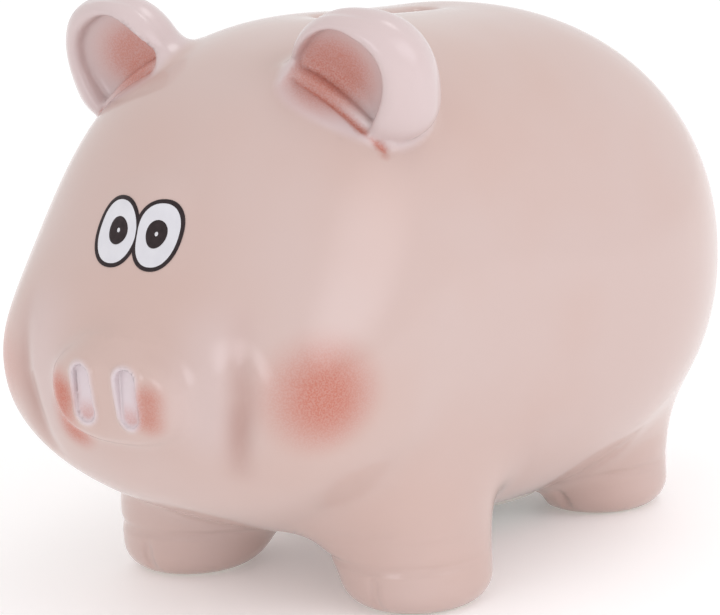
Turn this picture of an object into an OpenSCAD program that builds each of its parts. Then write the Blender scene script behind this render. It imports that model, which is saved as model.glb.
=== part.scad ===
// Ceramic pig coin bank: a hollow slip-cast shell on four stub legs, with luted ears and tail,
// printed eye films and a soft stopper in the belly hole.
// Millimetres. +Z is up, the nose points to -Y and X = 0 is the mirror plane. The soles stand
// on Z = 0, and the origin lies under the middle of the overall box.
// Places along the pig are given as distances back from the front of the nose.

/* [Barrel] */
// Length from the nose to the rump, without the tail
body_len = 182; // [178:0.5:186]
// Half width of the barrel
barrel_rx = 62.6; // [60:0.1:65]
// Half length of the barrel
barrel_ry = 59; // [57:0.5:60]
// Half height of the barrel
barrel_rz = 57; // [55:0.5:57]
// Height of the barrel's middle
barrel_z = 62; // [62:0.5:63]
// Fullness of the barrel, where 2 is an ellipsoid
barrel_full = 2.12; // [2:0.01:2.3]

/* [Head] */
// Distance of the head's middle back from the nose
head_back = 68; // [66:0.5:70]
// Half width of the head
head_rx = 51; // [49:0.5:54]
// Half length of the head
head_ry = 50; // [48:0.5:52]
// Half height of the head
head_rz = 55; // [54:0.5:57]
// Height of the head's middle
head_z = 68; // [67:0.5:69]
// Lean of the head, in degrees
head_lean = 12; // [8:1:15]
// Fullness of the head
head_full = 2.24; // [2.1:0.01:2.4]
// Width over which the head flows into the barrel
head_blend = 28; // [25:0.5:32]

/* [Muzzle] */
// Distance of the muzzle's middle back from the nose
muzzle_back = 24; // [23:0.1:25]
// Half width of the muzzle
muzzle_rx = 38.5; // [37:0.5:40]
// Half length of the muzzle
muzzle_ry = 12.5; // [12:0.5:13]
// Half height of the muzzle
muzzle_rz = 17.5; // [16.5:0.5:19]
// Height of the muzzle's middle
muzzle_z = 54.5; // [54:0.5:56]
// Width over which the muzzle flows into the head
muzzle_blend = 36; // [33:0.5:38]

/* [Snout] */
// Radius of the nose bridge below the eyes
bridge_top_r = 5; // [4.5:0.5:6]
// Radius of the nose bridge behind the snout
bridge_low_r = 13.5; // [12.5:0.5:14]
// Depth of the snout's flat face behind the front of the nostril rims, before its soft blends
snout_back = 2.4; // [2.2:0.1:2.8]
// Half width of the snout
snout_rx = 16.2; // [15:0.1:17]
// Half height of the snout
snout_rz = 10.7; // [10:0.1:12]
// Fullness of the snout's outline
snout_full = 2.5; // [2:0.1:2.8]
// Height of the snout's middle
snout_z = 56.5; // [56:0.5:57.5]
// Lean of the snout's face, in degrees
snout_lean = 5; // [0:1:8]
// Radius round the edge of the snout's face
snout_edge = 3.5; // [3:0.5:4.5]
// Height of the nostrils' middles
nostril_z = 57; // [56:0.5:58]
// Distance between the middles of the nostrils
nostril_gap = 11.8; // [11:0.1:13]
// Width of a nostril
nostril_w = 4.4; // [4:0.1:4.8]
// Height of a nostril
nostril_h = 12.2; // [11:0.1:13]
// Depth of a nostril behind its rim
nostril_d = 4; // [3:0.5:5]
// Width of the raised rim round a nostril
nostril_rim = 0.8; // [0.6:0.1:1]

/* [Legs] */
// Distance of the front legs back from the nose
front_leg_back = 64.5; // [62:0.5:66]
// Half distance between the front legs' middles
front_leg_x = 31; // [30:0.5:32]
// Radius of a front leg at the sole
front_leg_r = 16; // [15:0.5:17]
// Distance of the rear legs back from the nose
rear_leg_back = 144.5; // [142:0.5:146]
// Half distance between the rear legs' middles
rear_leg_x = 26.5; // [26:0.5:29]
// Radius of a rear leg at the sole
rear_leg_r = 15; // [14:0.5:16]
// Radius round the edge of a sole
sole_edge = 6; // [5:0.5:7]

/* [Shell] */
// Thickness of the cast wall
wall = 5; // [4:0.5:6]
// Thickness of the cast wall in the legs, where the slip drains last
leg_wall = 7; // [6.5:0.5:8]
// Width of the coin slot
slot_w = 5; // [4.5:0.1:5.5]
// Length of the coin slot
slot_len = 39; // [36:1:42]
// Distance of the coin slot's middle back from the nose
slot_back = 101.5; // [99:0.5:103]

/* [Ears] */
// Distance back from the nose of the point that the ears are set out from
ear_back = 54.4; // [53:0.1:56]
// Half distance between the ears' points
ear_x = 29; // [28:0.5:30]
// Height of the ears' points
ear_z = 104; // [103:0.5:105]
// Half width of an ear
ear_rx = 16.5; // [15.5:0.5:17.5]
// How far an ear bulges forward of its middle
ear_front = 9; // [8:0.5:10]
// How far an ear bulges back from its middle
ear_rear = 13; // [12:0.5:14]
// Height of an ear above its widest place
ear_rise = 18.9; // [18:0.1:20]
// Depth of an ear below its widest place
ear_drop = 10; // [9:0.5:11]
// Fullness of an ear
ear_full = 2.33; // [2.1:0.01:2.5]
// Lean of an ear towards the nose, in degrees
ear_forward = 16.5; // [15:0.5:18]
// Lean of an ear away from the mirror plane, in degrees
ear_outward = 5; // [3:0.5:7]
// Turn of an ear's face away from the nose, in degrees
ear_turn = 22; // [18:1:26]

/* [Tail] */
// How far the tail stands out behind the rump
tail_out = 8; // [8:0.5:10]
// Height of the tail's root
tail_z = 78; // [74:1:84]
// Radius of the tail's curl
curl_r = 7.5; // [7:0.5:8]
// Radius of the tail at its root
tail_r = 3.6; // [3.2:0.1:4]

/* [Eyes] */
// Height of the eyes' middles
eye_z = 88.4; // [87:0.1:90]
// Half distance between the eyes' middles
eye_x = 5.3; // [5.2:0.1:5.6]
// Half width of an eye
eye_rx = 6; // [5.7:0.1:6.1]
// Half height of an eye
eye_rz = 6.8; // [6.5:0.1:7.2]
// Width of the dark line round an eye
line_w = 0.9; // [0.8:0.05:1]
// Half width of a pupil
pupil_rx = 2.6; // [2.4:0.1:2.8]
// Half height of a pupil
pupil_rz = 2.8; // [2.5:0.1:3]
// Radius of the light dot in a pupil
dot_r = 0.4; // [0.35:0.05:0.6]

/* [Stopper] */
// Diameter of the belly hole
hole_d = 34; // [32:0.5:35]
// Distance of the belly hole back from the nose
hole_back = 123; // [121:0.5:125]
// Diameter of the stopper's flange
flange_d = 41; // [40:0.5:42]
// Thickness of the stopper's flange
flange_t = 2; // [1.8:0.1:2.2]
// Height of the plug above its flange
plug_h = 10; // [9:0.5:11]
// Radial room between the plug's ribs and the hole
rib_gap = 0.1; // [0.05:0.05:0.2]

/* [Mesh] */
// Grid of the outer surface
outer_cell = 5.8; // [5.5:0.1:6]
// Grid of the cavity
inner_cell = 8; // [7:0.1:8]
// Grid of the ears
ear_cell = 2.2; // [2.1:0.1:2.3]
// Grid of the tail
tail_cell = 1.6; // [1.5:0.1:1.8]

/* [Hidden] */

PINK = [0.86, 0.75, 0.72];
WHITE = [0.93, 0.93, 0.94];
DARK = [0.1, 0.07, 0.08];
CLEAR_GREY = [0.75, 0.75, 0.73];

nose_y = -(body_len + tail_out) / 2;
rump_y = nose_y + body_len;
hole_at = [0, nose_y + hole_back, 0];
belly_z = barrel_z - barrel_rz;
// Depth of the flat seat that is cut round the belly hole
seat_cut = 3;
seat_z = belly_z + seat_cut;
seat_room = 0.6;
// Muzzle fullness, snout length and the widths of the tighter blends
muzzle_full = 2.2;
snout_len = 25;
snout_blend = 3;
bridge_blend = 5;
brow_blend = 4.2;
leg_blend = 11.5;
front_flare = 0.09;
rear_flare = 0.03;
// Brow lobe under the eyes: its middle and its half axes
brow_at = [0, nose_y + 23.6, 90.8];
brow_r = [9.6, 6, 6];
// Ends of the nose bridge's centreline
bridge_top = [0, nose_y + 22, 76];
bridge_low = [0, nose_y + 15.5, 61.5];
leg_top = 34;
leg_cap_blend = 16;
// Clearance between luted pieces and the shell, over its flat facets
bond = 0.2;
// The left ear's own frame, whose face looks to -Y, and its widest place in that frame
ear_at = [ear_x, nose_y + ear_back, ear_z];
ear_turns = [ear_forward, ear_outward, ear_turn];
ear_mid = [1, 0, 9];
// The cup in the ear's face: its middle, half axes and turns
cup_at = [-3.7, -1.3, 10.6];
cup_r = [10.5, 3.6, 14];
well_turns = [-2.5, 22.8, -22.4];
// The tail's curl: its steps, its turn, and the radius and stand of its tip
curl_steps = 16;
curl_turn = 400;
tip_r = 2.2;
root_sink = 1.2;
tip_stand = tail_out - tip_r + 1;
// Thickness of the printed films, their bond line and their mesh
film_t = 0.35;
film_bond = 0.1;
film_sides = 24;
face_guess = 17;
pupil_in = 0.25;
plug_gap = 0.1;
// The stopper's two ribs, the finger recess under it with its bar, and the wall of its well
rib_z = [1.6, 6];
rib_stand = 0.6;
rib_h = 2.2;
grip_r = 9.5;
grip_h = 1.6;
bar_w = 3.2;
bar_lift = 0.2;
well_t = 2;

// ---- Fields: negative inside, close to a distance near the surface ----

// A rounded lobe with half axes r, where n sets its fullness
function lobe(p, c, r, n) =
    let (q = [for (i = [0:2]) abs(p[i] - c[i]) / r[i] + 1e-6],
         g = pow(pow(q.x, n) + pow(q.y, n) + pow(q.z, n), 1 / n))
    (g - 1) / norm([for (i = [0:2]) pow(q[i] / g, n - 1) / r[i]]);

// Union of a and b with a soft valley k wide, and the matching intersection
function blend(a, b, k) = min(a, b) - pow(max(k - abs(a - b), 0), 2) / (4 * k);
function soft_cut(a, b, k) = -blend(-a, -b, k);

// Outline of a bar with rounded ends from its side and end distances
function rounded(side, end, r) =
    norm([max(side + r, 0), max(end + r, 0)]) + min(max(side + r, end + r), 0) - r;

// One pair of legs, widening to the body and rounded at the sole
function legs(p, x, y, r, flare) =
    let (rise = flare * max(p.z, 0),
         post = rounded(norm([abs(p.x) - x + rise, p.y - y]) - r - rise, -p.z, sole_edge))
    soft_cut(post, p.z - leg_top, leg_cap_blend);

// A round strand from a to b, tapering from radius ra to rb
function strand(p, a, b, ra, rb) =
    let (ab = b - a, t = min(max((p - a) * ab / (ab * ab), 0), 1))
    norm(p - a - t * ab) - ra - t * (rb - ra);

// Place p as seen from c, in a frame turned by a about the X axis
function tilt(p, c, a) =
    let (d = p - c) [d.x, d.y * cos(a) + d.z * sin(a), d.z * cos(a) - d.y * sin(a)];

// Vector d in a frame turned by a.x, a.y and a.z about the X, Y and Z axes, in that order
function unturned(d, a) =
    let (u = [d.x * cos(a.z) + d.y * sin(a.z), d.y * cos(a.z) - d.x * sin(a.z), d.z],
         v = [u.x * cos(a.y) - u.z * sin(a.y), u.y, u.z * cos(a.y) + u.x * sin(a.y)])
    tilt(v, ORIGIN, a.x);

function snout(p) =
    let (q = tilt(p, [0, nose_y + snout_back, snout_z], snout_lean),
         n = snout_full,
         reach = pow(pow(abs(q.x) / snout_rx, n) + pow(abs(q.z) / snout_rz, n), 1 / n),
         side = (reach - 1) * snout_rz)
    max(rounded(side, -q.y, snout_edge), q.y - snout_len);

// Barrel, head and muzzle
function mass(p) =
    let (barrel_at = [0, rump_y - barrel_ry, barrel_z],
         barrel = lobe(p, barrel_at, [barrel_rx, barrel_ry, barrel_rz], barrel_full),
         leant = tilt(p, [0, nose_y + head_back, head_z], head_lean),
         head = lobe(leant, ORIGIN, [head_rx, head_ry, head_rz], head_full),
         muzzle_at = [0, nose_y + muzzle_back, muzzle_z],
         muzzle = lobe(p, muzzle_at, [muzzle_rx, muzzle_ry, muzzle_rz], muzzle_full))
    blend(blend(barrel, head, head_blend), muzzle, muzzle_blend);

function trunk(p) =
    let (face = blend(mass(p), lobe(p, brow_at, brow_r, 2), brow_blend),
         bridge = strand(p, bridge_top, bridge_low, bridge_top_r, bridge_low_r))
    blend(blend(face, bridge, bridge_blend), snout(p), snout_blend);

function body(p) =
    let (front = legs(p, front_leg_x, nose_y + front_leg_back, front_leg_r, front_flare),
         rear = legs(p, rear_leg_x, nose_y + rear_leg_back, rear_leg_r, rear_flare))
    max(blend(trunk(p), min(front, rear), leg_blend), -p.z);

// The left ear before its cup is cut: a full lobe in the ear's own frame, seated on the head
function ear_field(p) =
    let (q = unturned(p - ear_at, ear_turns),
         high = [ear_rx, ear_rear, ear_rise],
         low = [ear_rx, ear_front, ear_drop],
         r = [for (i = [0:2]) q[i] < ear_mid[i] ? low[i] : high[i]])
    max(lobe(q, ear_mid, r, ear_full), bond - body(p));

// The tail's centreline winds off the rump as t goes from 0 to 1
function tail_point(t) =
    let (a = curl_turn * t, r = curl_r * (1 - t / 4), x = r * sin(a), z = tail_z - r * cos(a),
         skin_y = rump_y - (x * x + pow(z - barrel_z, 2)) / (2 * barrel_ry))
    [x, skin_y - root_sink + t * (tip_stand + root_sink), z];
function tail_radius(t) = tail_r + t * (tip_r - tail_r);
function tail_field(p) =
    let (n = curl_steps,
         coil = min([for (i = [0:n - 1])
             let (s = i / n, e = (i + 1) / n)
             strand(p, tail_point(s), tail_point(e), tail_radius(s), tail_radius(e))]))
    max(coil, bond - body(p));

// ---- Meshing a field ----

STEP = 0.05;
ORIGIN = [0, 0, 0];
AXES = [[1, 0, 0], [0, 1, 0], [0, 0, 1]];
// The twelve edges of a cell, as pairs of corners
EDGES = [for (a = [0:2]) for (u = [0, 1]) for (w = [0, 1])
    let (o = u * AXES[(a + 1) % 3] + w * AXES[(a + 2) % 3]) [o, o + AXES[a]]];

function slope(f, p, v) = [for (a = AXES) (f(p + STEP * a) - v) / STEP];
// p moved on to the surface of field f, in n steps
function settle(f, p, n = 2) =
    n == 0 ? p : let (v = f(p), g = slope(f, p, v)) settle(f, p - v * g / (g * g), n - 1);

// Two triangles over the quad of point numbers r, split along its shorter diagonal
function split(points, r) =
    let (long = norm(points[r[0]] - points[r[2]]) > norm(points[r[1]] - points[r[3]]),
         t = long ? 1 : 0)
    [[r[t], r[t + 1], r[t + 2]], [r[t], r[t + 2], r[(t + 3) % 4]]];

// Surface net of field f over n cells of size s from corner lo: one point for each cell that
// the surface crosses, and two triangles for each grid edge that it crosses
function net(f, lo, n, s) =
    let (v = [for (k = [0:n.z]) [for (j = [0:n.y]) [for (i = [0:n.x]) f(lo + s * [i, j, k])]]],
         cells = [for (k = [0:n.z - 1]) for (j = [0:n.y - 1]) for (i = [0:n.x - 1])
             [for (e = EDGES)
                 let (a = [i, j, k] + e[0], b = [i, j, k] + e[1],
                      va = v[a.z][a.y][a.x], vb = v[b.z][b.y][b.x])
                 if ((va < 0) != (vb < 0)) a + (b - a) * va / (va - vb)]],
         count = len(cells),
         id = [for (c = 0, m = 0; c < count; m = m + (len(cells[c]) > 0 ? 1 : 0), c = c + 1) m],
         points = [for (c = cells) if (len(c) > 0)
             let (middle = [for (x = c) 1] * c / len(c)) settle(f, lo + s * middle)],
         faces = [for (a = [0:2]) for (k = [1:n.z - 1]) for (j = [1:n.y - 1]) for (i = [1:n.x - 1])
             let (q = [i, j, k], b = q + AXES[a], va = v[k][j][i], vb = v[b.z][b.y][b.x])
             if ((va < 0) != (vb < 0))
                 let (u = AXES[(a + 1) % 3], w = AXES[(a + 2) % 3],
                      around = va < 0 ? [q - u - w, q - u, q, q - w] : [q - w, q, q - u, q - u - w],
                      ring = [for (r = around) id[(r.z * n.y + r.y) * n.x + r.x]])
                 each split(points, ring)])
    [points, faces];

module solid(mesh) {
    polyhedron(points = mesh[0], faces = mesh[1], convexity = 6);
}

// Net of f inside the box from lo to hi, with one spare cell all round
module field_solid(f, lo, hi, s) {
    n = [for (i = [0:2]) ceil((hi[i] - lo[i]) / s) + 2];
    solid(net(f, (lo + hi) / 2 - s * n / 2, n, s));
}

BODY_LO = [-barrel_rx, nose_y, 0];
BODY_HI = [barrel_rx, rump_y, head_z + head_rz + 1];
EAR_LO = ear_at - [ear_rx + 4, ear_rise, ear_drop];
EAR_HI = ear_at + [ear_rx + 6, ear_rear + 4, ear_mid.z + ear_rise];

// ---- Sub-parts ----

module ceramic_shell() {
    color(PINK)
    difference() {
        union() {
            field_solid(function(p) body(p), BODY_LO, BODY_HI, outer_cell);
            nostrils(nostril_w + 2 * nostril_rim, nostril_h + 2 * nostril_rim, 0);
        }
        field_solid(function(p) mass(p) + wall, BODY_LO, BODY_HI, inner_cell);
        leg_pockets();
        coin_slot();
        belly_hole();
        nostrils(nostril_w, nostril_h, nostril_d);
    }
}

// Two upright bars with round ends that reach from the nose's front back into the snout,
// and as far out in front of it as given
module nostrils(w, h, out) {
    reach = (h - w) / 2;
    for (s = [-1, 1])
    translate([s * nostril_gap / 2, nose_y + nostril_d, nostril_z]) rotate([90, 0, 0]) {
        translate([-w / 2, -reach, 0]) cube([w, 2 * reach, nostril_d + out]);
        for (e = [-1, 1]) translate([0, e * reach, 0]) cylinder(h = nostril_d + out, d = w, $fn = 24);
    }
}

module leg_pockets() {
    for (s = [-1, 1]) {
        pocket(s * front_leg_x, front_leg_back, front_leg_r);
        pocket(s * rear_leg_x, rear_leg_back, rear_leg_r);
    }
}

module pocket(x, back, r) {
    translate([x, nose_y + back, leg_wall]) cylinder(h = leg_top - leg_wall, r = r - leg_wall, $fn = 48);
}

module coin_slot() {
    end_r = slot_w / 2;
    reach = (slot_len - slot_w) / 2;
    translate([0, nose_y + slot_back, head_z]) {
        translate([-end_r, -reach, 0]) cube([slot_w, 2 * reach, 2 * head_rz]);
        for (s = [-1, 1]) translate([0, s * reach, 0]) cylinder(h = 2 * head_rz, r = end_r, $fn = 32);
    }
}

module belly_hole() {
    translate(hole_at) {
        cylinder(h = barrel_z, d = hole_d, $fn = 96);
        cylinder(h = seat_z, d = flange_d + 2 * seat_room, $fn = 96);
    }
}

module left_ear() {
    color(PINK)
    difference() {
        field_solid(function(p) ear_field(p), EAR_LO, EAR_HI, ear_cell);
        translate(ear_at) rotate(ear_turns) ear_cup();
    }
}

// The hollow of an ear, open to the front
module ear_cup() {
    translate(cup_at) rotate(well_turns)
    hull() for (y = [0, -2 * ear_front]) translate([0, y, 0]) scale(cup_r) sphere(r = 1, $fn = 36);
}

module right_ear() {
    mirror([1, 0, 0]) left_ear();
}

module tail() {
    reach = curl_r + tail_r;
    color(PINK)
    field_solid(function(p) tail_field(p), [-reach, rump_y - tail_r - 2, tail_z - reach],
        [reach, rump_y + tail_out, tail_z + reach], tail_cell);
}

// ---- Printed eye films, which follow the face ----

function slope_y(x, y, z) = (body([x, y + STEP, z]) - body([x, y, z])) / STEP;
// The face's y over the place x, z
function face_y(x, z, y = nose_y + face_guess, n = 6) =
    n == 0 ? y : face_y(x, z, y - body([x, y, z]) / slope_y(x, y, z), n - 1);

// A closed loop of places x, z round an ellipse, kept on the +X side of min_x
function loop(c, rx, rz, min_x) =
    [for (i = [0:film_sides - 1])
        let (a = 360 * i / film_sides)
        [max(c.x + rx * cos(a), min_x), c[1] + rz * sin(a)]];

// A film between two loops, with the given number of bands
module film(inner, outer, bands) {
    n = film_sides;
    places = [for (j = [0:bands]) for (i = [0:n - 1])
        inner[i] + (outer[i] - inner[i]) * j / bands];
    skin = [for (q = places) [q[0], face_y(q[0], q[1]), q[1]]];
    out = [for (p = skin) let (g = slope(function(p) body(p), p, body(p))) g / norm(g)];
    low = [for (i = [0:len(skin) - 1]) skin[i] + film_bond * out[i]];
    high = [for (i = [0:len(skin) - 1]) skin[i] + (film_bond + film_t) * out[i]];
    m = len(skin);
    // Corners round the section of one side: low inner to low outer, then back along the top
    section = [each [0:bands], each [for (j = [bands:-1:0]) j + bands + 1]];
    corner = function(s, i) (s > bands ? m + (s - bands - 1) * n : s * n) + i % n;
    quads = [for (i = [0:n - 1]) for (k = [0:len(section) - 1])
        let (a = section[k], b = section[(k + 1) % len(section)])
        [corner(a, i), corner(b, i), corner(b, i + 1), corner(a, i + 1)]];
    polyhedron(points = concat(low, high),
        faces = [for (q = quads) each [[q[0], q[1], q[2]], [q[0], q[2], q[3]]]], convexity = 4);
}

EYE_AT = [eye_x, eye_z];
PUPIL_AT = [eye_x - pupil_in, eye_z];

function eye_loop(extra, min_x) = loop(EYE_AT, eye_rx + extra, eye_rz + extra, min_x);
function pupil_loop() = loop(PUPIL_AT, pupil_rx, pupil_rz, 0);
function dot_loop() = loop(PUPIL_AT, dot_r, dot_r, 0);

module left_eye_white() {
    color(WHITE) {
        film(pupil_loop(), eye_loop(-line_w, line_w / 2), 2);
        film(loop(PUPIL_AT, dot_r / 4, dot_r / 4, 0), dot_loop(), 1);
    }
}

module left_eye_line() {
    color(DARK) film(eye_loop(-line_w, line_w / 2), eye_loop(0, 0.03), 1);
}

module left_pupil() {
    color(DARK) film(dot_loop(), pupil_loop(), 1);
}

module right_eye_white() {
    mirror([1, 0, 0]) left_eye_white();
}

module right_eye_line() {
    mirror([1, 0, 0]) left_eye_line();
}

module right_pupil() {
    mirror([1, 0, 0]) left_pupil();
}

// ---- Stopper: a soft flanged cup with two ribs and a finger bar under it ----

module belly_stopper() {
    r = hole_d / 2 - rib_gap;
    neck = r - rib_stand;
    edge = flange_t / 2;
    rim = [for (a = [-90:15:90]) [flange_d / 2 - edge + edge * cos(a), -edge + edge * sin(a)]];
    ribs = [for (z = rib_z)
        each [[neck, z], [r, z + rib_stand], [r, z + 2 * rib_stand], [neck, z + rib_h]]];
    well_z = grip_h + well_t;
    well_r = neck - 2 * rib_stand;
    bar_h = flange_t + grip_h;
    color(CLEAR_GREY)
    translate(hole_at + [0, 0, seat_z - plug_gap]) {
        rotate_extrude($fn = 96)
        polygon(concat([[0, grip_h], [grip_r, grip_h], [grip_r, -flange_t]], rim, [[neck, 0]], ribs,
            [[well_r, plug_h], [well_r - well_t, well_z], [0, well_z]]));
        translate([-grip_r, -bar_w / 2, bar_lift - flange_t]) cube([2 * grip_r, bar_w, bar_h]);
    }
}

ceramic_shell();
left_ear();
right_ear();
tail();
left_eye_white();
right_eye_white();
left_eye_line();
right_eye_line();
left_pupil();
right_pupil();
belly_stopper();
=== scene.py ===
import math

import bpy
import numpy as np
from mathutils import Euler, Matrix, Vector


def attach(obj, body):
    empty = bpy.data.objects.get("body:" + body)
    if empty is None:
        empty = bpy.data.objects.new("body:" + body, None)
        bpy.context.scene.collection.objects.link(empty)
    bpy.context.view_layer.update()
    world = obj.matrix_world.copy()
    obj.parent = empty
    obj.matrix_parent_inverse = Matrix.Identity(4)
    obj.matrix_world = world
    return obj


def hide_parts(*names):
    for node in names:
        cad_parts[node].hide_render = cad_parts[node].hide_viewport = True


# Ceramic pig coin bank. Shapes are worked out in millimetres in the row frame (+Z up, nose to -Y,
# X = 0 the mirror plane) and turned into metres when a mesh is made.

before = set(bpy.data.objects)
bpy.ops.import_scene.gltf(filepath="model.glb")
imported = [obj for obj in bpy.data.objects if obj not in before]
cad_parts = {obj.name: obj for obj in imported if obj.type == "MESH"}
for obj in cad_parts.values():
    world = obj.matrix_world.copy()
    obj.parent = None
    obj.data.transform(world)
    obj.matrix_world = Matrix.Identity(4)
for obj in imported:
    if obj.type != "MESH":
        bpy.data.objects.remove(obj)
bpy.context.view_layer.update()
MM = 0.001

# ---- Sizes: the design's, but for small changes at the snout, bridge, ear cups and legs ----

BODY_LEN = 182.0
TAIL_OUT = 8.0
NOSE_Y = -(BODY_LEN + TAIL_OUT) / 2
RUMP_Y = NOSE_Y + BODY_LEN

BARREL_R = np.array([62.5, 59.0, 57.0])
BARREL_AT = np.array([0.0, RUMP_Y - BARREL_R[1], 62.0])
BARREL_FULL = 2.12
HEAD_R = np.array([51.0, 50.0, 55.0])
HEAD_AT = np.array([0.0, NOSE_Y + 68.0, 68.0])
HEAD_FULL = 2.24
HEAD_LEAN = 12.0
HEAD_BLEND = 28.0
MUZZLE_R = np.array([38.5, 12.5, 17.5])
MUZZLE_AT = np.array([0.0, NOSE_Y + 24.0, 54.5])
MUZZLE_FULL = 2.2
MUZZLE_BLEND = 36.0
BROW_AT = np.array([0.0, NOSE_Y + 23.6, 90.8])
BROW_R = np.array([9.6, 6.0, 6.0])
BROW_BLEND = 4.2
BRIDGE_TOP = np.array([0.0, NOSE_Y + 24.0, 74.0])
BRIDGE_LOW = np.array([0.0, NOSE_Y + 15.5, 61.5])
BRIDGE_R = (5.0, 13.5)
BRIDGE_BLEND = 4.0

SNOUT_AT = np.array([0.0, NOSE_Y + 2.4, 56.0])
SNOUT_RX = 16.8
SNOUT_RZ = 10.2
SNOUT_FULL = 2.5
SNOUT_LEN = 25.0
SNOUT_LEAN = 5.0
SNOUT_EDGE = 3.5
SNOUT_BLEND = 3.2
NOSTRIL_X = 5.9
NOSTRIL_Z = 57.0
NOSTRIL_HALF = 3.9
NOSTRIL_R = 2.2
NOSTRIL_DEEP = 2.6
NOSTRIL_RIM = 0.7
NOSTRIL_BACK = NOSE_Y + 12

FRONT_LEG = (31.0, NOSE_Y + 64.5, 16.0, 0.09)
REAR_LEG = (26.5, NOSE_Y + 144.5, 15.0, 0.03)
LEG_BLEND = 11.5
LEG_TOP = 37.0
LEG_CAP_BLEND = 24.0
SOLE_EDGE = 6.0
# Each ankle crease: its height, depth and width
ANKLES = ((11.0, 0.55, 1.1), (18.5, 0.3, 1.3))
CLEFT_Z = 5.5
CLEFT_DEEP = 0.7
# The crease beside the snout runs down this path, and is deepest at the height MOUTH_Z
MOUTH = np.array([[27.9, -81.8, 73.3], [29.3, -85.5, 57.7], [25.4, -82.8, 40.8]])
MOUTH_Z = 53.0
MOUTH_DEEP = 1.3
MOUTH_W = 3.2

WALL = 5.0
SLOT_AT = np.array([0.0, NOSE_Y + 101.5, 0.0])
SLOT_W = 5.0
SLOT_LEN = 39.0
SLOT_LIP = 3.0
SLOT_DISH = 0.7
HOLE_AT = np.array([0.0, NOSE_Y + 123.0, 0.0])
HOLE_R = 17.0
SEAT_R = 21.1
SEAT_Z = 8.0

EAR_AT = np.array([29.0, NOSE_Y + 54.4, 104.0])
EAR_MID = np.array([1.0, 0.0, 9.0])
EAR_R = np.array([16.5, 13.0, 18.8])
EAR_FRONT = 9.0
EAR_LOW = 10.0
EAR_FULL = 2.33
EAR_TURNS = (16.5, 5.1, 22.0)
SCOOP_AT = np.array([-3.7, -1.3, 10.6])
SCOOP_R = np.array([10.5, 2.6, 14.0])
SCOOP_FULL = 2.4
SCOOP_TURNS = (-2.5, 22.8, -22.4)
EAR_RIM_BLEND = 4.0
EAR_FRONT_BLEND = 2.0
EAR_BACK_BLEND = 5.0
LIP = np.array([[-14.2, 3.2, 12.2], [-8.3, 0.1, 10.9], [-2.3, -2.6, 8.7],
                [3.1, -4.9, 5.7], [8.1, -6.0, 2.1]])
LIP_R = 0.7
LIP_DROP = np.array([-0.6, -1.5, -0.8])
LIP_GROOVE = 0.7

TAIL_Z = 78.0
CURL_R = 7.5
TAIL_R = 3.6
TIP_R = 2.2
CURL_TURN = 400.0
CURL_STEPS = 40
ROOT_SINK = 1.2
TIP_STAND = TAIL_OUT - TIP_R + 0.8
TAIL_BLEND = 2.5
TAIL_NEAR_Y = RUMP_Y - 16

# Pieces stuck on with slip meet the shell in a shallow seat, at a joint too fine to see
SEAT_DEEP = 2.6
EAR_MARGIN = 2.5
TAIL_MARGIN = 2.0
JOINT_GAP = 0.005

EYE_AT = (5.3, 88.4)
EYE_R = (6.0, 6.85)
EYE_FULL = 2.2
LINE_W = 0.9
PUPIL_AT = (5.05, 88.6)
PUPIL_R = (2.6, 2.75)
DOT_R = 0.4
FILM_LOW = 0.02
FILM_HIGH = 0.14

STOPPER_Z = SEAT_Z - 0.1
FLANGE_R = 20.5
FLANGE_T = 2.0
RIB_R = 16.9
RIB_Z = (1.6, 6.0)
RIB_H = 2.2
NECK_R = 16.3
PLUG_H = 10.0
GRIP_R = 9.5
GRIP_H = 1.6
WELL_R = 13.1
WELL_Z = 3.6
BAR_W = 3.2


# ---- Fields: negative inside, in millimetres ----

def unit(v):
    return v / np.linalg.norm(v, axis=-1, keepdims=True)


def lobe(p, centre, r, n=2.0):
    """A rounded lobe. A larger n makes it fuller."""
    q = np.abs(p - centre) / r + 1e-6
    g = (q ** n).sum(-1) ** (1 / n)
    return (g - 1) / np.linalg.norm((q / g[..., None]) ** (n - 1) / r, axis=-1)


def blend(a, b, k):
    """Union of a and b with a soft valley k wide."""
    return np.minimum(a, b) - np.maximum(k - np.abs(a - b), 0) ** 2 / (4 * k)


def soft_cut(a, b, k):
    """The part of a inside b, with an edge rounded over k."""
    return -blend(-a, -b, k)


def rounded(side, end, r):
    """Outline of a bar with rounded ends from its side and end distances."""
    s = side + r
    e = end + r
    return np.hypot(np.maximum(s, 0), np.maximum(e, 0)) + np.minimum(np.maximum(s, e), 0) - r


def turn_x(d, degrees):
    """Vectors d turned about the X axis."""
    c = math.cos(math.radians(degrees))
    s = math.sin(math.radians(degrees))
    return np.stack([d[..., 0], d[..., 1] * c + d[..., 2] * s, d[..., 2] * c - d[..., 1] * s], -1)


def mirrored(p):
    """Points p folded on to the +X side."""
    return np.stack([np.abs(p[..., 0]), p[..., 1], p[..., 2]], -1)


def strand(p, a, b, ra, rb):
    """A round strand from a to b, tapering from radius ra to rb."""
    ab = b - a
    t = np.clip((p - a) @ ab / (ab @ ab), 0, 1)
    return np.linalg.norm(p - a - t[..., None] * ab, axis=-1) - ra - t * (rb - ra)


def path_distance(p, points):
    """Distance from p to a bent line through the points."""
    return np.min([strand(p, a, b, 0, 0) for a, b in zip(points[:-1], points[1:])], axis=0)


def legs(p, leg):
    """A pair of legs, wider towards the body, with rounded edges to their soles."""
    x, y, r, flare = leg
    rise = flare * np.maximum(p[..., 2], 0)
    side = np.hypot(np.abs(p[..., 0]) - x + rise, p[..., 1] - y) - r - rise
    return soft_cut(rounded(side, -p[..., 2], SOLE_EDGE), p[..., 2] - LEG_TOP, LEG_CAP_BLEND)


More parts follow.
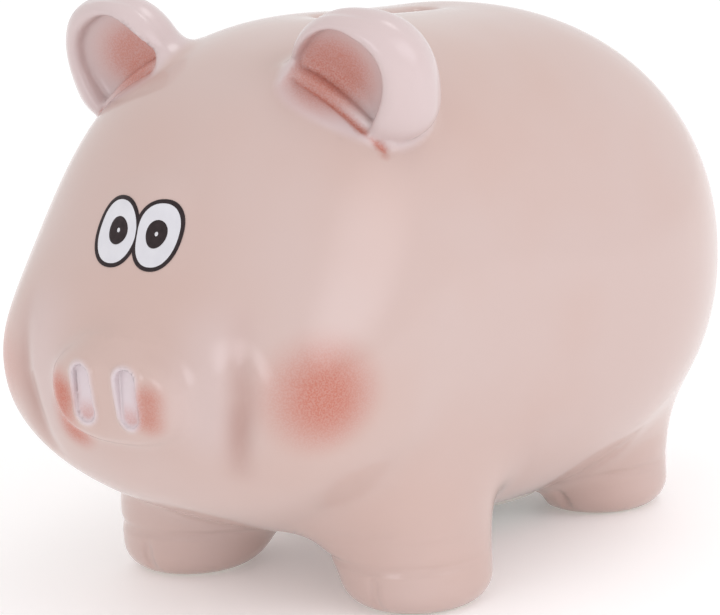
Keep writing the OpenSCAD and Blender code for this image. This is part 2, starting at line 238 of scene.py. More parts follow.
def mass(p):
    """Barrel, head and muzzle."""
    barrel = lobe(p, BARREL_AT, BARREL_R, BARREL_FULL)
    head = lobe(turn_x(p - HEAD_AT, HEAD_LEAN), 0, HEAD_R, HEAD_FULL)
    muzzle = lobe(p, MUZZLE_AT, MUZZLE_R, MUZZLE_FULL)
    return blend(blend(barrel, head, HEAD_BLEND), muzzle, MUZZLE_BLEND)


def foot_marks(p):
    """Creases round the front of each ankle and a cleft in the toes below them."""
    x = np.abs(p[..., 0])
    z = p[..., 2]
    depth = np.zeros(z.shape)
    for leg in (FRONT_LEG, REAR_LEG):
        near = np.exp(-(legs(p, leg) / 3) ** 2) / (1 + np.exp((p[..., 1] - leg[1]) / 3))
        rings = sum(deep * np.exp(-((z - at) / wide) ** 2) for at, deep, wide in ANKLES)
        cleft = CLEFT_DEEP * np.exp(-((x - leg[0]) / 0.9) ** 2 - ((z - CLEFT_Z) / 3.5) ** 4)
        depth = np.maximum(depth, near * np.maximum(rings, cleft))
    return depth


def snout_frame(p):
    """Places in the snout's frame, whose face looks to -Y."""
    return turn_x(p - SNOUT_AT, SNOUT_LEAN)


def snout(p):
    """The snout's disc, drawn back into the muzzle as a bar with a rounded front edge."""
    q = snout_frame(p)
    reach = np.abs(q[..., 0] / SNOUT_RX) ** SNOUT_FULL + np.abs(q[..., 2] / SNOUT_RZ) ** SNOUT_FULL
    side = (reach ** (1 / SNOUT_FULL) - 1) * SNOUT_RZ
    return np.maximum(rounded(side, -q[..., 1], SNOUT_EDGE), q[..., 1] - SNOUT_LEN)


def nostril_side(p):
    """Sideways distance from a nostril's outline."""
    reach = np.maximum(np.abs(p[..., 2] - NOSTRIL_Z) - NOSTRIL_HALF, 0)
    return np.hypot(np.abs(p[..., 0]) - NOSTRIL_X, reach) - NOSTRIL_R


def crease(p, wide):
    """The mouth's crease at each side of the snout: 1 in its middle, dying away at its ends."""
    along = np.exp(-((p[..., 2] - MOUTH_Z) / 14) ** 2)
    return along * np.exp(-(path_distance(mirrored(p), MOUTH) / wide) ** 2)


def body(p):
    """The shell's outside, without its ears and tail."""
    core = mass(p)
    face = blend(core, lobe(p, BROW_AT, BROW_R), BROW_BLEND)
    bridge = strand(p, BRIDGE_TOP, BRIDGE_LOW, *BRIDGE_R)
    trunk = blend(blend(face, bridge, BRIDGE_BLEND), snout(p), SNOUT_BLEND)
    feet = np.minimum(legs(p, FRONT_LEG), legs(p, REAR_LEG))
    skin = np.maximum(blend(trunk, feet, LEG_BLEND), -p[..., 2])
    return skin + MOUTH_DEEP * crease(p, MOUTH_W) + foot_marks(p)


def detailed(p):
    """The shell's outside with the nostrils in it."""
    skin = body(p)
    side = nostril_side(p)
    near = p[..., 1] < NOSTRIL_BACK
    rim = np.hypot(side - 0.35, skin) - NOSTRIL_RIM
    skin = np.where(near, blend(skin, rim, 1.2), skin)
    pit = np.maximum(side, p[..., 1] - NOSE_Y - NOSTRIL_DEEP)
    return np.where(near, soft_cut(skin, -pit, 1.0), skin)


def turned(degrees):
    """The matrix that turns about X, then Y, then Z."""
    return np.array(Euler([math.radians(a) for a in degrees]).to_matrix())


EAR_TURNED = turned(EAR_TURNS)
SCOOP_TURNED = turned(SCOOP_TURNS)


def ear_frame(p):
    """Places in the left ear's own frame, whose face looks to -Y. The right ear mirrors it."""
    return (mirrored(p) - EAR_AT) @ EAR_TURNED


def ear_lobe(q, more=0.0):
    """The ear before its cup is cut, flatter in front and shorter below its widest place."""
    low = [EAR_R[0], EAR_FRONT, EAR_LOW]
    return lobe(q, EAR_MID, np.where(q < EAR_MID, low, EAR_R) + more, EAR_FULL)


def scoop(q):
    """The cup in the ear's face, open to the front."""
    d = (q - SCOOP_AT) @ SCOOP_TURNED
    d[..., 1] = np.maximum(d[..., 1], 0)
    return lobe(d, 0, SCOOP_R, SCOOP_FULL)


def ear(q):
    """The ear with its cup and the bead along the cup's lower lip."""
    cup = soft_cut(ear_lobe(q), -scoop(q), EAR_RIM_BLEND)
    return blend(cup, path_distance(q, LIP) - LIP_R, 0.8)


def ear_blend(q):
    """The ear's joint is tight at the front and flows into the head at the back."""
    t = np.clip((q[..., 1] + 4) / 8, 0, 1)
    return EAR_FRONT_BLEND + (EAR_BACK_BLEND - EAR_FRONT_BLEND) * t * t * (3 - 2 * t)


def tail_path():
    """Centres and radii along the tail's curl, from its root to its tip."""
    t = np.linspace(0, 1, CURL_STEPS + 1)
    a = np.radians(CURL_TURN * t)
    r = CURL_R * (1 - t / 4)
    x = r * np.sin(a)
    z = TAIL_Z - r * np.cos(a)
    skin_y = RUMP_Y - (x ** 2 + (z - BARREL_AT[2]) ** 2) / (2 * BARREL_R[1])
    y = skin_y - ROOT_SINK + t * (TIP_STAND + ROOT_SINK)
    return np.stack([x, y, z], -1), TAIL_R + t * (TIP_R - TAIL_R)


def tail(p):
    centres, radii = tail_path()
    ends = zip(centres[:-1], centres[1:], radii[:-1], radii[1:])
    return np.min([strand(p, *e) for e in ends], axis=0)


def skin(p):
    """The whole outside: shell, ears and tail flowing into one another."""
    out = detailed(p)
    q = ear_frame(p)
    out = out + LIP_GROOVE * np.exp(-(path_distance(q, LIP + LIP_DROP) / 1.2) ** 2)
    out = blend(out, ear(q), ear_blend(q))
    near_tail = p[..., 1] > TAIL_NEAR_Y
    if near_tail.any():
        out[near_tail] = blend(out[near_tail], tail(p[near_tail]), TAIL_BLEND)
    return out


def ear_region(p):
    """Where the ears are pieces of their own: round each lobe, down to its seat in the body."""
    return np.maximum(ear_lobe(ear_frame(p), EAR_MARGIN), -body(p) - SEAT_DEEP)


def tail_region(p):
    """Where the tail is a piece of its own."""
    side = np.hypot(p[..., 0], p[..., 2] - TAIL_Z) - CURL_R - TAIL_R - TAIL_MARGIN
    return np.maximum(side, -body(p) - SEAT_DEEP)


def slot(p):
    """The coin slot, as a bar with round ends in plan."""
    along = np.maximum(np.abs(p[..., 1] - SLOT_AT[1]) - (SLOT_LEN - SLOT_W) / 2, 0)
    return np.maximum(np.hypot(p[..., 0], along) - SLOT_W / 2, BARREL_AT[2] - p[..., 2])


def slot_dish(p):
    """The slip sinks a little round the slot."""
    along = np.maximum(np.abs(p[..., 1] - SLOT_AT[1]) - SLOT_LEN / 2, 0)
    return SLOT_DISH * np.exp(-(np.hypot(p[..., 0], along) / 6.5) ** 2) * (p[..., 2] > BARREL_AT[2])


def shell_skin(p):
    """Outside and inside of the shell, with its coin slot and belly hole."""
    out = skin(p) + slot_dish(p)
    out = np.maximum(out, -(mass(p) + WALL))
    out = soft_cut(out, -slot(p), SLOT_LIP)
    flat = np.hypot(p[..., 0] - HOLE_AT[0], p[..., 1] - HOLE_AT[1])
    hole = np.maximum(flat - HOLE_R, p[..., 2] - BARREL_AT[2])
    seat = np.maximum(flat - SEAT_R, p[..., 2] - SEAT_Z)
    out = soft_cut(out, -hole, 0.8)
    return soft_cut(out, -seat, 1.0)


def tail_region_near(p):
    """The tail's region, worked out only near the rump."""
    out = np.full(p.shape[:-1], 50.0)
    near = p[..., 1] > TAIL_NEAR_Y
    if near.any():
        out[near] = tail_region(p[near])
    return out


def shell_bounds(p):
    """Positive where a luted piece takes the shell's place."""
    return np.maximum(JOINT_GAP - ear_region(p), JOINT_GAP - tail_region_near(p))


# ---- Meshing a field ----

COARSER = 1.0


def ticks(stops, steps):
    """Grid lines between the stops, at about the given step in each stretch."""
    parts = []
    for a, b, step in zip(stops, stops[1:], steps):
        count = max(1, round((b - a) / step / COARSER))
        parts.append(np.linspace(a, b, count + 1)[:-1])
    return np.concatenate(parts + [[stops[-1]]])


def slope(f, p, v, h=0.01):
    """The gradient of field f at p, where its value is v."""
    return np.stack([(f(p + h * np.eye(3)[i]) - v) / h for i in range(3)], -1)


def surface_net(a, b, grid, reach):
    """Mesh of the part of field a inside field b: points, quads and a unit normal for each corner.
    A cell that both fields cross puts its point on the edge where they meet."""
    p = np.stack(np.meshgrid(*grid, indexing="ij"), -1)
    va = a(p)
    vb = b(p)
    v = np.maximum(va, vb)
    del vb
    shape = np.array(v.shape)
    cells = shape - 1
    total = np.zeros((cells.prod(), 3))
    count = np.zeros(cells.prod())
    count_a = np.zeros(cells.prod())
    edges = []
    for axis in range(3):
        step = np.eye(3, dtype=int)[axis]
        low = tuple(slice(0, n - d) for n, d in zip(shape, step))
        high = tuple(slice(d, n) for n, d in zip(shape, step))
        at = np.argwhere((v[low] < 0) != (v[high] < 0))
        i0 = tuple(at.T)
        i1 = tuple((at + step).T)
        t = v[i0] / (v[i0] - v[i1])
        point = p[i0] + (p[i1] - p[i0]) * t[:, None]
        outside = np.where((v[i0] < 0)[:, None], at + step, at)
        by_a = va[tuple(outside.T)] >= v[tuple(outside.T)] - 1e-9
        u = np.eye(3, dtype=int)[(axis + 1) % 3]
        w = np.eye(3, dtype=int)[(axis + 2) % 3]
        ring = [at - u - w, at - u, at, at - w]
        for cell in ring:
            flat = np.ravel_multi_index(tuple(cell.T), cells)
            for i in range(3):
                total[:, i] += np.bincount(flat, point[:, i], cells.prod())
            count += np.bincount(flat, minlength=cells.prod())
            count_a += np.bincount(flat, by_a, cells.prod())
        quad = np.stack([np.ravel_multi_index(tuple(c.T), cells) for c in ring], -1)
        leaving = v[i0] < 0
        quad[leaving] = quad[leaving][:, ::-1]
        edges.append(quad)
    del p, va, v
    used = count > 0
    index = np.cumsum(used) - 1
    points = total[used] / count[used][:, None]
    both = (count_a[used] > 0) & (count_a[used] < count[used])
    quads = index[np.concatenate(edges)]
    points = settle(a, b, points, both, reach)
    return points, quads, corner_normals(a, b, points, quads)


def settle(a, b, points, both, reach, rounds=4):
    """Moves points on to the surface, and those of both fields on to the edge between them."""
    start = points.copy()
    for _ in range(rounds):
        va = a(points)
        vb = b(points)
        ga = slope(a, points, va)
        gb = slope(b, points, vb)
        aa = (ga * ga).sum(-1)
        ab = (ga * gb).sum(-1)
        bb = (gb * gb).sum(-1)
        det = aa * bb - ab * ab
        edge = both & (det > 0.04 * aa * bb)
        det = np.where(edge, det, 1)
        ka = np.where(edge, (bb * va - ab * vb) / det, np.where(va >= vb, va / np.maximum(aa, 1e-6), 0))
        kb = np.where(edge, (aa * vb - ab * va) / det, np.where(va >= vb, 0, vb / np.maximum(bb, 1e-6)))
        step = ka[:, None] * ga + kb[:, None] * gb
        size = np.linalg.norm(step, axis=-1, keepdims=True)
        points = points - step * np.minimum(1, 0.5 * reach / np.maximum(size, 1e-9))
        away = points - start
        size = np.linalg.norm(away, axis=-1, keepdims=True)
        points = start + away * np.minimum(1, reach / np.maximum(size, 1e-9))
    return points


def corner_normals(a, b, points, quads):
    """Each corner takes the normal of the field that its own face lies on."""
    middle = points[quads].mean(1)
    on_a = a(middle) >= b(middle) - 0.3
    na = unit(slope(a, points, a(points)) + 1e-12)
    nb = unit(slope(b, points, b(points)) + 1e-12)
    return np.where(on_a[:, None, None], na[quads], nb[quads])


# ---- Blender pieces ----

def mesh_piece(name, points, faces, normals=None):
    """An object from points in millimetres, its faces and, if given, a normal for each corner."""
    mesh = bpy.data.meshes.new(name)
    mesh.from_pydata((points * MM).tolist(), [], faces)
    mesh.polygons.foreach_set("use_smooth", np.ones(len(mesh.polygons), bool))
    if normals is not None:
        mesh.normals_split_custom_set(normals.reshape(-1, 3).tolist())
    mesh.update()
    piece = bpy.data.objects.new(name, mesh)
    bpy.context.scene.collection.objects.link(piece)
    return piece


def paint(piece, name, values):
    """Stores one number for each point, which a material can read."""
    layer = piece.data.attributes.new(name, "FLOAT", "POINT")
    layer.data.foreach_set("value", np.asarray(values, np.float32))


def fade(distance, core, edge):
    """1 within core, falling softly to 0 at edge."""
    t = np.clip((edge - distance) / (edge - core), 0, 1)
    return t * t * (3 - 2 * t)


# Where the coral was sprayed: both cheeks, and a touch at each side of the snout
CHEEK_AT = np.array([43.8, -75.3, 57.3])
SPRAY_LEFT = np.array([[11.0, -92.6, 57.0], [10.6, -92.4, 53.0]])
SPRAY_RIGHT = np.array([[-13.6, -91.6, 56.0], [-14.5, -89.5, 51.0], [-14.0, -88.5, 47.5]])
# Width of the painted shade along the mouth crease
CREASE_SHADE_W = 3.0
CUP_CORAL_AT = np.array([-5.0, 1.0, 14.0])
CUP_CORAL_SQUASH = np.array([0.8, 0.8, 1.0])
# Path of the painted reflection at each side of the snout
MUZZLE_SIDE = np.array([[24.0, -86.0, 69.0], [22.5, -87.0, 53.0]])


def coral(p):
    """How much coral was sprayed at each place."""
    m = mirrored(p)
    cheek = 0.9 * fade(np.linalg.norm((m - CHEEK_AT) * [0.8, 1, 1], axis=-1), 2, 16)
    side = np.maximum(0.7 * fade(path_distance(p, SPRAY_LEFT), 0.3, 5.5),
                      fade(path_distance(p, SPRAY_RIGHT), 1, 7.5))
    q = ear_frame(p)
    cup_away = np.linalg.norm((q - CUP_CORAL_AT) * CUP_CORAL_SQUASH, axis=-1)
    cup = 0.85 * fade(scoop(q), -0.2, 0.8) * fade(cup_away, 3, 12)
    groove = 0.9 * fade(path_distance(q, LIP + 1.3 * LIP_DROP), 0.2, 1.6)
    pit = 0.5 * fade(nostril_side(p), -0.9, 0.3) * (p[..., 1] < NOSTRIL_BACK) * fade(p[..., 2], 52, 57)
    return np.max([cheek, side, cup, groove, pit], axis=0)


def bare(p):
    """1 where the clay is unglazed: inside the cavity and on the soles."""
    inside = mass(p) + WALL
    sole = fade(p[..., 2], 0.25, 0.7)
    return np.maximum((inside < 0.6) * 1.0, sole)


def painted_sheen(p):
    """Painted sheen: where the pink is made paler and lilac to stand in for highlights and reflections,
    on the ears, round the nostrils and beside the snout.
    """
    ears = 0.45 * fade(ear_lobe(ear_frame(p)), 0.3, 2.5)
    rims = 0.9 * fade(nostril_side(p), 0.2, 1.6) * (p[..., 1] < NOSTRIL_BACK)
    beside = 0.2 * fade(path_distance(mirrored(p), MUZZLE_SIDE), 0, 15)
    return np.max([ears, rims, beside], axis=0)


def glazed_piece(name, a, b, grid, reach):
    """A ceramic piece: the part of field a inside field b, with its coats, its painted shade and its
    painted sheen painted on.
    """
    points, quads, normals = surface_net(a, b, grid, reach)
    piece = mesh_piece(name, points, quads.tolist(), normals)
    paint(piece, "coral", coral(points))
    paint(piece, "bare", bare(points))
    # Painted shade: darker along the mouth crease
    paint(piece, "painted_crease_shade", crease(points, CREASE_SHADE_W))
    # Painted sheen: paler lilac on the ears, round the nostrils and beside the snout
    paint(piece, "painted_sheen", painted_sheen(points))
    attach(piece, "bank")
    return piece


def make_shell():
    """The shell's grid is finest over the snout, and fine at the feet and the top of the back too."""
    fine = 0.75
    coarse = 1.6
    top = HEAD_AT[2] + HEAD_R[2] + 3
    grid = [ticks([-66, -17, 17, 66], [coarse, fine, coarse]),
            ticks([NOSE_Y - 2, NOSE_Y + 24, RUMP_Y + 3], [fine, coarse]),
            ticks([-2, 13, 44, 68, 98, top], [0.9, coarse, fine, coarse, 1.2])]
    piece = glazed_piece("pig_shell", shell_skin, shell_bounds, grid, 2.2 * COARSER)
    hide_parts("ceramic_shell")
    return piece


def make_ear(name, node, side):
    """The left ear where side is 1, and the right ear where it is -1."""
    across = sorted([side * 6.0, side * 58.0])
    along = [EAR_AT[1] - 23, EAR_AT[1] + 25]
    up = [82.0, 134.0]
    grid = [ticks(span, [0.8]) for span in (across, along, up)]
    piece = glazed_piece(name, skin, ear_region, grid, 1.2 * COARSER)
    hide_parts(node)
    return piece


def make_tail():
    """The curly tail, with a disc of the rump round its root."""
    reach = CURL_R + TAIL_R + 3
    spans = ([-reach, reach], [RUMP_Y - 14, RUMP_Y + TAIL_OUT + 2], [TAIL_Z - reach, TAIL_Z + reach])
    grid = [ticks(span, [0.5]) for span in spans]
    piece = glazed_piece("curly_tail", skin, tail_region, grid, 0.8 * COARSER)
    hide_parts("tail")
    return piece


# ---- Printed eyes ----

def face_y(x, z):
    """The face's y over each place x, z."""
    y = np.full_like(x, NOSE_Y + 17)
    for _ in range(12):
        p = np.stack([x, y, z], -1)
        v = body(p)
        y = y - v / ((body(p + [0, 0.01, 0]) - v) / 0.01)
    return y


def oval(at, r, n, min_x=0.0, full=2.0):
    """n places round an oval, with none to the left of min_x."""
    a = np.linspace(0, 2 * math.pi, n, endpoint=False)
    c = np.cos(a)
    s = np.sin(a)
    g = (np.abs(c) ** full + np.abs(s) ** full) ** (1 / full)
    return np.stack([np.maximum(at[0] + r[0] * c / g, min_x), at[1] + r[1] * s / g], -1)


def film(name, inner, outer, bands, side):
    """A thin closed film between two loops, printed on the face."""
    n = len(inner)
    t = np.linspace(0, 1, bands + 1)[:, None, None]
    flat = (inner + (outer - inner) * t).reshape(-1, 2)
    p = np.stack([flat[:, 0], face_y(flat[:, 0], flat[:, 1]), flat[:, 1]], -1)
    out = unit(slope(body, p, body(p)))
    points = np.concatenate([p + FILM_LOW * out, p + FILM_HIGH * out])
    m = len(p)
    section = list(range(bands + 1)) + [m // n + j for j in range(bands, -1, -1)]
    faces = []
    for i in range(n):
        j = (i + 1) % n
        for k in range(len(section)):
            s = section[k] * n
            e = section[(k + 1) % len(section)] * n
            faces.append([s + i, e + i, e + j, s + j])
    if side < 0:
        points = points * [-1, 1, 1]
        faces = [face[::-1] for face in faces]
    return mesh_piece(name, points, faces)


def make_eye(word, side):
    """One eye's films: its white with the dot in the pupil, and its outline and pupil."""
    n = 96
    inside = (EYE_R[0] - LINE_W, EYE_R[1] - LINE_W * 0.85)
    white_edge = oval(EYE_AT, inside, n, LINE_W / 4, EYE_FULL)
    line_edge = oval(EYE_AT, EYE_R, n, 0.01, EYE_FULL)
    pupil_edge = oval(PUPIL_AT, PUPIL_R, n)
    dot_edge = oval(PUPIL_AT, (DOT_R, DOT_R * 1.1), n)
    dot_core = oval(PUPIL_AT, (DOT_R / 20, DOT_R / 20), n)
    white = film(f"{word}_eye_print", pupil_edge, white_edge, 14, side)
    glint = film(f"{word}_eye_glint", dot_core, dot_edge, 2, side)
    line = film(f"{word}_eye_outline", white_edge, line_edge, 3, side)
    pupil = film(f"{word}_pupil_print", dot_edge, pupil_edge, 6, side)
    whites = [white, glint]
    darks = [line, pupil]
    for pieces, slot_name in ((whites, "eye_white"), (darks, "eye_dark")):
        for piece in pieces:
            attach(piece, "bank")
    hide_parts(f"{word}_eye_white")
    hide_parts(f"{word}_eye_line")
    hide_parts(f"{word}_pupil")
    return whites, darks


# ---- Stopper ----

def corner(at, r, start, stop, n=6):
    """Points r, z round a rounded corner whose middle is given."""
    a = np.radians(np.linspace(start, stop, n + 1))
    return [(at[0] + r * math.cos(t), at[1] + r * math.sin(t)) for t in a]


def lathe(name, profile, n):
    """A piece turned about the stopper's axis from a profile that starts and ends on it."""
    rings = profile[1:-1]
    angles = [2 * math.pi * i / n for i in range(n)]
    points = [[r * math.cos(a), r * math.sin(a), z] for r, z in rings for a in angles]
    points += [[0, 0, profile[0][1]], [0, 0, profile[-1][1]]]
    first = len(points) - 2
    last = len(points) - 1
    end = (len(rings) - 1) * n
    faces = []
    for i in range(n):
        j = (i + 1) % n
        faces += [[k + i, k + j, k + n + j, k + n + i] for k in range(0, end, n)]
        faces += [[first, j, i], [end + i, end + j, last]]
    return stopper_piece(name, points, faces)


def stopper_piece(name, points, faces):
    """A piece of the stopper, moved from its own axis into the belly hole."""
    at = HOLE_AT + [0, 0, STOPPER_Z]
    piece = mesh_piece(name, np.array(points) + at, faces)
    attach(piece, "stopper")
    return piece


def make_stopper():
    """A flanged cup with two ribs, and a finger bar across the recess under it."""
    half = FLANGE_T / 2
    profile = [(0, GRIP_H), (GRIP_R - 2, GRIP_H)] + corner((GRIP_R - 0.8, GRIP_H - 0.8), 0.8, 90, 0)
    profile += corner((GRIP_R + 0.6, 0.6 - FLANGE_T), 0.6, 180, 270) + [(GRIP_R + 3, -FLANGE_T)]
    profile += corner((FLANGE_R - half, -half), half, -90, 90, 12) + [(NECK_R + 1, 0)]
    profile += corner((NECK_R + 0.4, 0.4), 0.4, 270, 180)
    for z in RIB_Z:
        profile += [(NECK_R, z)] + corner((RIB_R - 0.3, z + 0.9), 0.3, -60, 80) + [(NECK_R, z + RIB_H)]
    profile += corner((NECK_R - 0.9, PLUG_H - 0.5), 0.5, 0, 90)
    profile += corner((WELL_R + 0.6, PLUG_H - 0.5), 0.5, 90, 180)
    profile += corner((WELL_R - 1.5, WELL_Z + 1.5), 1.5, 0, -90) + [(0, WELL_Z)]
    cup = lathe("stopper_cup", profile, 96)
    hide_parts("belly_stopper")
    return [cup, make_bar()]


def make_bar():
    """The finger bar across the recess, as a rounded section drawn out in steps."""
    bar_z = (GRIP_H + 0.2 - FLANGE_T) / 2
    tall = (GRIP_H - 0.2 + FLANGE_T) / 2
    n = 24
    steps = 12
    section = oval((0, bar_z), (BAR_W / 2, tall), n, -BAR_W, 4)
    points = [[x, y, z] for x in np.linspace(-GRIP_R, GRIP_R, steps + 1) for y, z in section]
    faces = [list(range(n))[::-1], [steps * n + i for i in range(n)]]
    for k in range(steps):
        for i in range(n):
            j = (i + 1) % n
            faces.append([k * n + i, k * n + j, (k + 1) * n + j, (k + 1) * n + i])
    return stopper_piece("stopper_bar", points, faces)


# ---- Materials ----

RANGE_SOCKETS = ("From Min", "From Max", "To Min", "To Max")
PINK = (0.585, 0.450, 0.415)
PINK_WARM = (0.575, 0.420, 0.375)
# Colour of the painted shade in the mouth crease
PAINTED_CREASE_SHADE = (0.45, 0.285, 0.25)
# Pale lilac of the painted sheen and painted reflections on the ears, nostril rims and beside the snout
PAINTED_SHEEN = (0.68, 0.60, 0.63)
CORAL = (0.50, 0.165, 0.115)
BISQUE = (0.78, 0.70, 0.62)
EYE_WHITES = ((0.64, 0.635, 0.675), (0.69, 0.685, 0.72))
EYE_DARKS = ((0.020, 0.013, 0.014), (0.034, 0.022, 0.024))
STOPPER_GREYS = ((0.60, 0.585, 0.54), (0.66, 0.645, 0.60))
FLOOR_WHITES = ((0.93, 0.93, 0.93), (0.95, 0.95, 0.95))


class Nodes:
    """A material's node tree, with short calls for what the materials here share."""

    def __init__(self, name):
        self.material = bpy.data.materials.new(name)
        self.material.use_nodes = True
        self.tree = self.material.node_tree
        self.tree.nodes.clear()
        self.shader = self.add("ShaderNodeBsdfPrincipled")
        out = self.add("ShaderNodeOutputMaterial")
        self.join(self.shader.outputs[0], out.inputs[0])
        self.place = self.add("ShaderNodeTexCoord").outputs["Object"]

    def add(self, kind, **values):
        node = self.tree.nodes.new(kind)
        for key, value in values.items():
            setattr(node, key, value)
        return node

    def join(self, a, b):
        self.tree.links.new(a, b)

    def set(self, **values):
        """Sets the shader's own inputs, named in small letters."""
        for key, value in values.items():
            name = key.replace("_", " ").title().replace("Ior", "IOR")
            self.shader.inputs[name].default_value = value

    def noise(self, size, detail=3.0, rough=0.5):
        """Noise whose features are about size metres wide."""
        node = self.add("ShaderNodeTexNoise")
        self.join(self.place, node.inputs["Vector"])
        node.inputs["Scale"].default_value = 1 / size
        node.inputs["Detail"].default_value = detail
        node.inputs["Roughness"].default_value = rough
        return node.outputs["Fac"]

    def attribute(self, name):
        """The number painted on each point under this name."""
        return self.add("ShaderNodeAttribute", attribute_name=name).outputs["Fac"]

    def ramp(self, value, low, high, to_low=0.0, to_high=1.0):
        """The value moved from the range low to high into the range to_low to to_high."""
        node = self.add("ShaderNodeMapRange")
        self.join(value, node.inputs["Value"])
        for key, number in zip(RANGE_SOCKETS, (low, high, to_low, to_high)):
            node.inputs[key].default_value = number
        return node.outputs["Result"]

    def math(self, operation, a, b):
        node = self.add("ShaderNodeMath", operation=operation)
        for socket, value in zip(node.inputs, (a, b)):
            if isinstance(value, (int, float)):
                socket.default_value = value
            else:
                self.join(value, socket)
        return node.outputs[0]

    def mix(self, factor, a, b):
        """Colour a turning into colour b as the factor rises."""
        node = self.add("ShaderNodeMix", data_type="RGBA")
        self.join(factor, node.inputs["Factor"])
        for socket, value in ((node.inputs["A"], a), (node.inputs["B"], b)):
            if isinstance(value, tuple):
                socket.default_value = (*value, 1)
            else:
                self.join(value, socket)
        return node.outputs["Result"]

    def bump(self, height, distance):
        """A normal that makes the height stand out by up to the distance, in metres."""
        node = self.add("ShaderNodeBump")
        self.join(height, node.inputs["Height"])
        node.inputs["Distance"].default_value = distance
        return node.outputs["Normal"]


def glaze():
    """Pink glaze with sprayed coral and bare clay below it, made paler by painted sheen on the ears,
    nostril rims and beside the snout, and darker by painted shade in the mouth crease.
    """
    n = Nodes("pink_glaze")
    n.set(roughness=0.32, specular_ior_level=0.1, ior=1.45)
    n.set(coat_weight=1.0, coat_roughness=0.04, coat_ior=1.45)
    tone = n.mix(n.ramp(n.noise(0.045, 2), 0.35, 0.65), PINK, PINK_WARM)
    # Painted sheen: paler lilac on the ears, nostril rims and beside the snout
    tone = n.mix(n.attribute("painted_sheen"), tone, PAINTED_SHEEN)
    # Painted shade: darker in the mouth crease
    tone = n.mix(n.attribute("painted_crease_shade"), tone, PAINTED_CREASE_SHADE)
    # The coral was sprayed, so it breaks up into fine dots
    spray = n.ramp(n.noise(0.00035, 1, 0.5), 0.36, 0.64, 0.82, 1.12)
    amount = n.math("MULTIPLY", n.attribute("coral"), spray)
    tone = n.mix(n.math("MINIMUM", amount, 1.0), tone, CORAL)
    bare_clay = n.attribute("bare")
    tone = n.mix(bare_clay, tone, BISQUE)
    n.join(tone, n.shader.inputs["Base Color"])
    n.join(n.ramp(bare_clay, 0, 1, 0.32, 0.85), n.shader.inputs["Roughness"])
    n.join(n.ramp(bare_clay, 0, 1, 0.8, 0), n.shader.inputs["Coat Weight"])
    # Slow waves in the glaze and a trace of grain in the bare clay
    waves = n.math("MULTIPLY", n.noise(0.012, 1), 0.25)
    grain = n.math("MULTIPLY", n.math("MULTIPLY", n.noise(0.0008, 3), bare_clay), 0.3)
    n.join(n.bump(n.math("ADD", waves, grain), 0.0003), n.shader.inputs["Normal"])
    return n.material


def print_white():
    """The printed white of the eyes, under clear glaze."""
    n = Nodes("eye_white_print")
    n.set(roughness=0.3, coat_weight=1.0, coat_roughness=0.04)
    tone = n.mix(n.ramp(n.noise(0.004, 2), 0.3, 0.7), *EYE_WHITES)
    n.join(tone, n.shader.inputs["Base Color"])
    n.join(n.bump(n.noise(0.0015, 2), 0.00002), n.shader.inputs["Normal"])
    return n.material


def print_dark():
    """The printed outline and pupil of the eyes."""
    n = Nodes("eye_dark_print")
    n.set(roughness=0.45, specular_ior_level=0.2)
    tone = n.mix(n.ramp(n.noise(0.0012, 3), 0.3, 0.7), *EYE_DARKS)
    n.join(tone, n.shader.inputs["Base Color"])
    n.join(n.bump(n.noise(0.001, 2), 0.00002), n.shader.inputs["Normal"])
    return n.material


def soft_plastic():
    """The stopper's soft, slightly mottled plastic."""
    n = Nodes("soft_stopper_plastic")
    n.set(roughness=0.45, ior=1.45)
    tone = n.mix(n.ramp(n.noise(0.008, 3), 0.3, 0.7), *STOPPER_GREYS)
    n.join(tone, n.shader.inputs["Base Color"])
    n.join(n.ramp(n.noise(0.002, 3), 0.3, 0.7, 0.4, 0.55), n.shader.inputs["Roughness"])
    n.join(n.bump(n.noise(0.0006, 3), 0.00004), n.shader.inputs["Normal"])
    return n.material


def dress(pieces, material):
    """Gives every piece this one material."""
    for piece in pieces:
        piece.data.materials.clear()
        piece.data.materials.append(material)


# ---- Stage, light and camera ----

CAMERA_AIM = Vector((0, -5.25, 56.09)) * MM
CAMERA_AWAY = 832.9 * MM
CAMERA_AZIMUTH = 37.216
CAMERA_ELEVATION = 13.338
CAMERA_ROLL = -3.181
CAMERA_LENS = 186.575
FLOOR_Z = -0.1


def aimed(location, target, roll=0.0):
    """The matrix of something at location that looks at target."""
    back = (location - target).normalized()
    right = Vector((0, 0, 1)).cross(back).normalized()
    up = back.cross(right)
    c = math.cos(math.radians(roll))
    s = math.sin(math.radians(roll))
    columns = Matrix((right * c + up * s, up * c - right * s, back)).transposed()
    return Matrix.Translation(location) @ columns.to_4x4()


def around(azimuth, elevation, away, target):
    """The place this far away from the target, in the given direction."""
    a = math.radians(azimuth)
    e = math.radians(elevation)
    return target + away * Vector((math.sin(a) * math.cos(e), -math.cos(a) * math.cos(e), math.sin(e)))


def make_camera():
    data = bpy.data.cameras.new("camera")
    data.lens = CAMERA_LENS
    data.sensor_width = 36
    data.clip_start = 0.05
    camera = bpy.data.objects.new("camera", data)
    bpy.context.scene.collection.objects.link(camera)
    place = around(CAMERA_AZIMUTH, CAMERA_ELEVATION, CAMERA_AWAY, CAMERA_AIM)
    camera.matrix_world = aimed(place, CAMERA_AIM, CAMERA_ROLL)
    bpy.context.scene.camera = camera


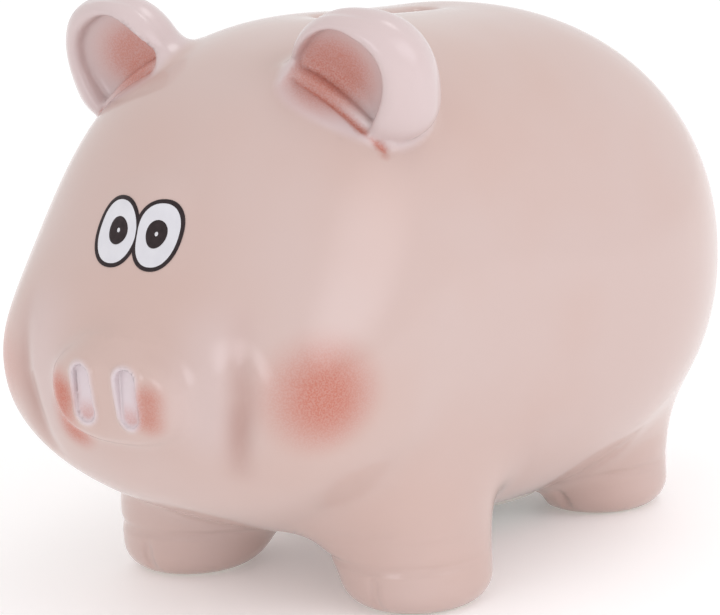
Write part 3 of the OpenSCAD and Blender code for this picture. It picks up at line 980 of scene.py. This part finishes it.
def area_light(name, azimuth, elevation, away, size, power, tint=(1, 1, 1)):
    """A softbox that looks at the middle of the bank."""
    data = bpy.data.lights.new(name, "AREA")
    data.shape = "RECTANGLE"
    data.size, data.size_y = size
    data.energy = power
    data.color = tint
    light = bpy.data.objects.new(name, data)
    bpy.context.scene.collection.objects.link(light)
    target = Vector((0, 0, 0.06))
    light.matrix_world = aimed(around(azimuth, elevation, away, target), target)
    # A softbox is brightest in its middle and fades to its edges
    data.use_nodes = True
    tree = data.node_tree
    emission = tree.nodes["Emission"]
    place = tree.nodes.new("ShaderNodeNewGeometry").outputs["Parametric"]
    middle = tree.nodes.new("ShaderNodeVectorMath")
    middle.operation = "DISTANCE"
    middle.inputs[1].default_value = (0.5, 0.5, 0)
    tree.links.new(place, middle.inputs[0])
    falloff = tree.nodes.new("ShaderNodeMapRange")
    falloff.interpolation_type = "SMOOTHSTEP"
    for key, number in zip(RANGE_SOCKETS, (0.1, 0.5, 1.8, 0.0)):
        falloff.inputs[key].default_value = number
    tree.links.new(middle.outputs["Value"], falloff.inputs["Value"])
    tree.links.new(falloff.outputs["Result"], emission.inputs["Strength"])


def make_stage():
    """A pale floor, a white world and three softboxes."""
    bpy.ops.mesh.primitive_circle_add(vertices=96, radius=6, fill_type="NGON")
    floor = bpy.context.object
    floor.name = "floor"
    floor.location.z = FLOOR_Z * MM
    n = Nodes("pale_floor")
    n.set(roughness=0.6, emission_color=(1, 1, 1, 1), emission_strength=0.16)
    tone = n.mix(n.ramp(n.noise(0.3, 2), 0.3, 0.7), *FLOOR_WHITES)
    n.join(tone, n.shader.inputs["Base Color"])
    dress([floor], n.material)
    world = bpy.data.worlds.new("studio")
    world.use_nodes = True
    background = world.node_tree.nodes["Background"]
    background.inputs["Color"].default_value = (1, 0.985, 0.985, 1)
    background.inputs["Strength"].default_value = 0.9
    bpy.context.scene.world = world
    # Each softbox: azimuth, elevation, distance, size, power and, if given, its tint
    area_light("side_box", 88, 26, 1.3, (1.5, 1.3), 6.4, (0.93, 0.92, 1))
    area_light("front_box", 6, 6, 1.1, (0.7, 0.6), 2.0, (0.94, 0.92, 1))
    area_light("top_box", 160, 62, 1.1, (0.7, 0.5), 1.6)


# ---- The scene ----

make_camera()
make_stage()
left_ear = ("ear_left", "left_ear", 1)
right_ear = ("ear_right", "right_ear", -1)
dress([make_shell(), make_ear(*left_ear), make_ear(*right_ear), make_tail()], glaze())
left_whites, left_darks = make_eye("left", 1)
right_whites, right_darks = make_eye("right", -1)
dress(left_whites + right_whites, print_white())
dress(left_darks + right_darks, print_dark())
dress(make_stopper(), soft_plastic())
bpy.context.scene.view_settings.view_transform = "Standard"
